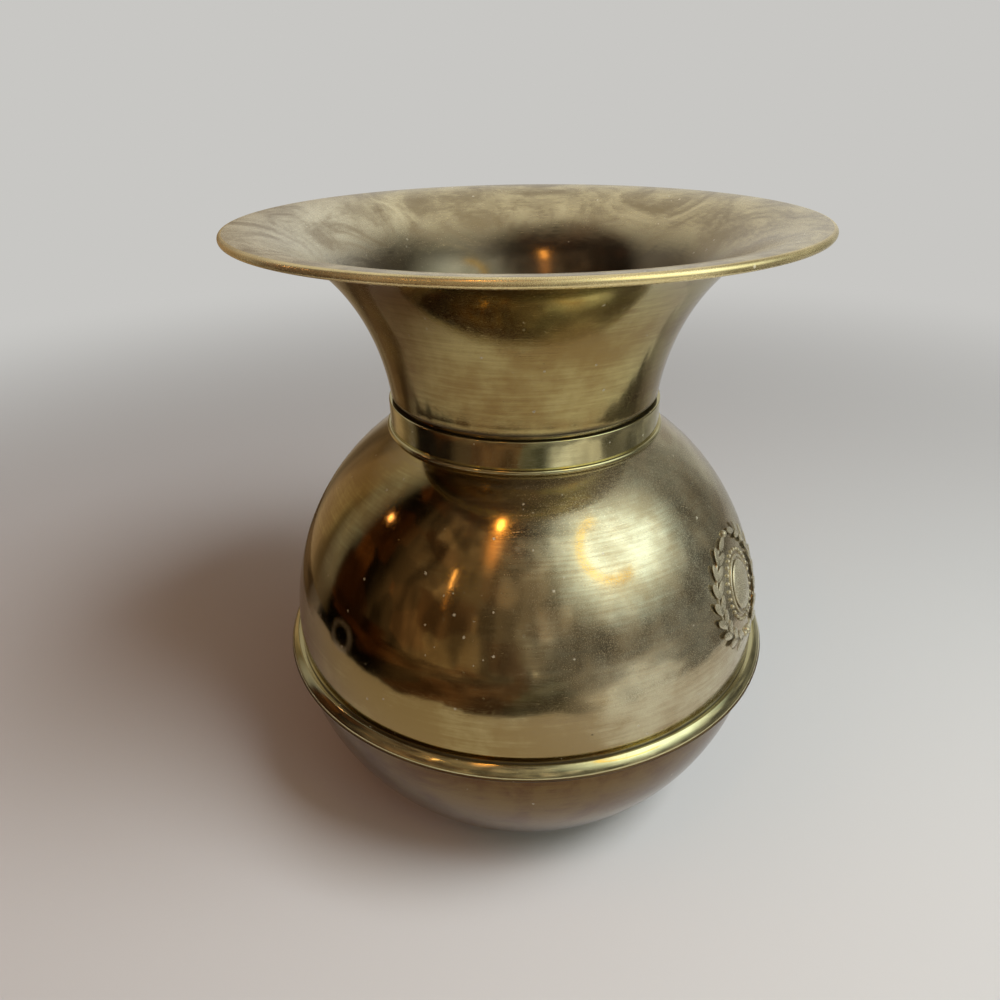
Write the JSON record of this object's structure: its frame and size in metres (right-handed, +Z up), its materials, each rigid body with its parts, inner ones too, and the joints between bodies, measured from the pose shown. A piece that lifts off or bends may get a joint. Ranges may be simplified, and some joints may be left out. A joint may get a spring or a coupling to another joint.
{
  "type": "brass spittoon",
  "caption": "Round-bellied spun brass spittoon with a wide flared mouth funnel that lifts out of a collared neck, a raised hoop over the belly seam and a flat base.",
  "frame": {"origin": "middle of the flat base, on the surface that the spittoon stands on", "axes": "+Z up along the axis of the spun shapes, through the mouth; -Y towards the picture's camera"},
  "size_m": [0.2286, 0.2286, 0.267],
  "materials": {
    "funnel_brass": "spun brass, polished, with light brown tarnish",
    "trim_brass": "polished brass trim",
    "bowl_brass": "spun brass, polished, spotted with tarnish",
    "base_brass": "spun brass, duller, brown tarnish",
    "iron_wire": "drawn iron wire",
    "soft_solder": "dull soft solder"
  },
  "bodies": {
    "bowl": {"lower_bowl": "base_brass", "upper_bowl": "bowl_brass", "belly_hoop": "trim_brass", "seam_solder": "soft_solder", "neck_collar": "trim_brass", "collar_solder": "soft_solder"},
    "funnel": {"mouth_funnel": "funnel_brass", "rim_wire": "iron_wire"}
  },
  "joints": [
    {"name": "funnel_lift", "type": "slide", "parent": "bowl", "child": "funnel", "axis": [0, 0, 1], "range_m": [0, 0.04]}
  ]
}
